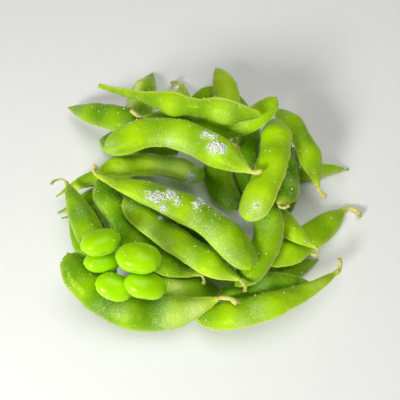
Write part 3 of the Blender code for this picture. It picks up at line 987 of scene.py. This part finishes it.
def down_piece(sizes, skins):
    """Fine hairs over the pods, thickest along the seams, all lying towards the tip."""
    scatter = Scatter("down", skins, down_finish(sizes), sizes.seed, {
        "Hair length": sizes.length,
        "Hair radius": sizes.radius,
        "Hairs per square metre": sizes.spread / SQUARE_CENTIMETRE,
    })
    given = scatter.given
    edge = scatter.carried("edge")
    share = scatter.maths("MULTIPLY_ADD", edge, HAIR_AT_SEAM, HAIR_ANYWHERE)
    share = scatter.maths("MULTIPLY", share, scatter.carried("downy"))
    spots = scatter.spots(scatter.maths("MULTIPLY", share, given["Hairs per square metre"]))
    along = scatter.scaled(scatter.carried("lie", "FLOAT_VECTOR"), HAIR_FORWARD)
    stance = scatter.summed(scatter.scaled(spots["Normal"], HAIR_OUTWARD), along)
    stance = scatter.summed(stance, scatter.random_vector(HAIR_ASTRAY, 1))
    turn = scatter.node("FunctionNodeAlignRotationToVector", {"Vector": stance}, axis="Z")
    hair = scatter.node("GeometryNodeMeshCone", {
        "Vertices": HAIR_CORNERS, "Radius Top": 0.0, "Radius Bottom": given["Hair radius"],
        "Depth": given["Hair length"]}).outputs[0]
    size = scatter.random(*HAIR_LENGTHS, 2)
    return scatter.strewn("down", spots["Points"], hair, turn.outputs[0], size)


def salt_piece(sizes, skins):
    """Coarse grains in clumps, and single ones, wherever the heap is open to the sky."""
    scatter = Scatter("salt", skins, salt_finish(sizes), sizes.seed, {
        "Grain": sizes.grain,
        "Flecks per square metre": sizes.flecks / SQUARE_CENTIMETRE,
    })
    given = scatter.given
    salt = scatter.carried("salt")
    spots = scatter.spots(scatter.maths("ADD", salt, given["Flecks per square metre"]))
    normal = spots["Normal"]
    clumped = scatter.maths("GREATER_THAN", salt, CLUMP_FROM)
    lift = scatter.maths("MULTIPLY", scatter.random(0, CLUMP_LIFT, 3), clumped)
    lift = scatter.maths("MULTIPLY", scatter.maths("ADD", lift, GRAIN_LIFT), given["Grain"])
    raised = scatter.moved(spots["Points"], scatter.scaled(normal, lift))
    position = scatter.node("GeometryNodeInputPosition").outputs[0]
    covered = scatter.node("GeometryNodeRaycast", {
        "Target Geometry": scatter.skins,
        "Source Position": scatter.summed(position, (0, 0, SKY_FROM)),
        "Ray Direction": (0, 0, 1), "Ray Length": SKY_REACH}).outputs["Is Hit"]
    upward = scatter.node("ShaderNodeSeparateXYZ", {0: normal}).outputs[2]
    steep = scatter.maths("LESS_THAN", upward, LEAST_UPWARD)
    hidden = scatter.node("FunctionNodeBooleanMath", {0: covered, 1: steep}, operation="OR")
    kept = scatter.node("GeometryNodeDeleteGeometry", {
        "Geometry": raised, "Selection": hidden.outputs[0]}, domain="POINT").outputs[0]
    grain = scatter.node("GeometryNodeMeshIcoSphere", {
        "Radius": scatter.maths("MULTIPLY", given["Grain"], GRAIN_RADIUS),
        "Subdivisions": 1}).outputs[0]
    turn = scatter.random_vector(math.pi, 4)
    size = scatter.summed(scatter.random_vector(GRAIN_SPREAD, 5), (GRAIN_MIDDLE,) * 3)
    growth = scatter.maths("MULTIPLY_ADD", clumped, CLUMP_GROWTH, LONE_GRAIN)
    size = scatter.scaled(size, growth)
    bumps = scatter.node("ShaderNodeTexNoise", {"Scale": 1 / (GRAIN_BUMP * MM)})
    bumps = scatter.summed(bumps.outputs["Color"], (-NOISE_MIDDLE,) * 3)
    bump_height = scatter.maths("MULTIPLY", given["Grain"], GRAIN_BUMP_HEIGHT)
    return scatter.strewn("salt", kept, grain, turn, size, scatter.scaled(bumps, bump_height))


# ---------------------------------------------------------------- operators


def skins_collection():
    """The collection that holds every dressed pod and bean."""
    name = "edamame_skins"
    if name not in bpy.data.collections:
        bpy.context.scene.collection.children.link(bpy.data.collections.new(name))
    return bpy.data.collections[name]


def dress(node, mesh, material):
    """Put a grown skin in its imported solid's place."""
    mesh.materials.append(material)
    piece = bpy.data.objects.new(mesh.name, mesh)
    skins_collection().objects.link(piece)
    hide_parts(node)
    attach(piece, "root")


class EDAMAME_OT_pods(bpy.types.Operator):
    """Grow every pod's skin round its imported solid"""
    bl_idname = "edamame.pods"
    bl_label = "Grow pods"

    def execute(self, context):
        sizes = context.scene.edamame_pods
        material = pod_finish(sizes)
        for node in PODS:
            dress(node, pod_mesh(node, sizes), material)
        return {"FINISHED"}


class EDAMAME_OT_beans(bpy.types.Operator):
    """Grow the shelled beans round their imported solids"""
    bl_idname = "edamame.beans"
    bl_label = "Grow beans"

    def execute(self, context):
        sizes = context.scene.edamame_beans
        material = bean_finish(sizes)
        for node in BEANS:
            dress(node, bean_mesh(node, sizes), material)
        return {"FINISHED"}


class EDAMAME_OT_down(bpy.types.Operator):
    """Cover the pods with fine hairs"""
    bl_idname = "edamame.down"
    bl_label = "Add down"

    def execute(self, context):
        piece = down_piece(context.scene.edamame_down, skins_collection())
        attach(piece, "root")
        return {"FINISHED"}


class EDAMAME_OT_salt(bpy.types.Operator):
    """Strew salt over the heap"""
    bl_idname = "edamame.salt"
    bl_label = "Strew salt"

    def execute(self, context):
        piece = salt_piece(context.scene.edamame_salt, skins_collection())
        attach(piece, "root")
        return {"FINISHED"}


def area_light(name, power, size, place, aim):
    """A soft square light that shines towards a point."""
    lamp = bpy.data.lights.new(name, "AREA")
    lamp.energy = power
    lamp.size = size
    light = bpy.data.objects.new(name, lamp)
    light.location = place
    light.rotation_euler = (aim - Vector(place)).to_track_quat("-Z", "Y").to_euler()
    light.visible_camera = False
    bpy.context.scene.collection.objects.link(light)


class EDAMAME_OT_stage(bpy.types.Operator):
    """Set the floor, the lights and the camera"""
    bl_idname = "edamame.stage"
    bl_label = "Set stage"

    def execute(self, context):
        sizes = context.scene.edamame_stage
        scene = context.scene
        side = FLOOR_SIDE / 2
        corners = [(-side, -side, 0), (side, -side, 0), (side, side, 0), (-side, side, 0)]
        mesh = bpy.data.meshes.new("floor")
        mesh.from_pydata(corners, [], [(0, 1, 2, 3)])
        mesh.materials.append(floor_finish(sizes))
        floor = bpy.data.objects.new("floor", mesh)
        scene.collection.objects.link(floor)
        aim = Vector(AIM)
        area_light("window", sizes.key, WINDOW_SIZE, WINDOW_PLACE, aim)
        area_light("overhead", sizes.top, OVERHEAD_SIZE, OVERHEAD_PLACE, aim)
        world = bpy.data.worlds.new("room")
        world.use_nodes = True
        sky = world.node_tree.nodes["Background"].inputs
        sky["Color"].default_value = (1, 1, 1, 1)
        sky["Strength"].default_value = sizes.sky
        scene.world = world
        scene.view_settings.view_transform = "Standard"
        lens = bpy.data.cameras.new("camera")
        lens.lens = sizes.lens
        lens.sensor_width = SENSOR_WIDTH
        lens.clip_start = NEAREST_SEEN
        camera = bpy.data.objects.new("camera", lens)
        back = Vector((0, -math.cos(sizes.elevation), math.sin(sizes.elevation)))
        camera.location = aim + back * sizes.distance
        camera.rotation_euler = (math.pi / 2 - sizes.elevation, 0, 0)
        scene.collection.objects.link(camera)
        scene.camera = camera
        return {"FINISHED"}


class EDAMAME_PT_heap(bpy.types.Panel):
    """The heap's settings and the buttons that build it"""
    bl_label = "Edamame heap"
    bl_idname = "EDAMAME_PT_heap"
    bl_space_type = "VIEW_3D"
    bl_region_type = "UI"
    bl_category = "Edamame"

    def draw(self, context):
        for operator, title in STEPS:
            box = self.layout.box()
            settings = getattr(context.scene, title)
            for name in settings.__annotations__:
                box.prop(settings, name)
            box.operator(operator.bl_idname)


STEPS = (
    (EDAMAME_OT_pods, "edamame_pods"),
    (EDAMAME_OT_beans, "edamame_beans"),
    (EDAMAME_OT_down, "edamame_down"),
    (EDAMAME_OT_salt, "edamame_salt"),
    (EDAMAME_OT_stage, "edamame_stage"),
)
SETTINGS = {
    "edamame_pods": PodSettings,
    "edamame_beans": BeanSettings,
    "edamame_down": DownSettings,
    "edamame_salt": SaltSettings,
    "edamame_stage": StageSettings,
}


def register():
    """Add the settings, the operators and the panel."""
    for title, group in SETTINGS.items():
        bpy.utils.register_class(group)
        setattr(bpy.types.Scene, title, bpy.props.PointerProperty(type=group))
    for operator, _ in STEPS:
        bpy.utils.register_class(operator)
    bpy.utils.register_class(EDAMAME_PT_heap)


def unregister():
    """Take them away again."""
    bpy.utils.unregister_class(EDAMAME_PT_heap)
    for operator, _ in STEPS:
        bpy.utils.unregister_class(operator)
    for title, group in SETTINGS.items():
        delattr(bpy.types.Scene, title)
        bpy.utils.unregister_class(group)


def main():
    """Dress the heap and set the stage."""
    register()
    bpy.ops.edamame.pods()
    bpy.ops.edamame.beans()
    bpy.ops.edamame.down()
    bpy.ops.edamame.salt()
    bpy.ops.edamame.stage()


if __name__ == "__main__":
    main()
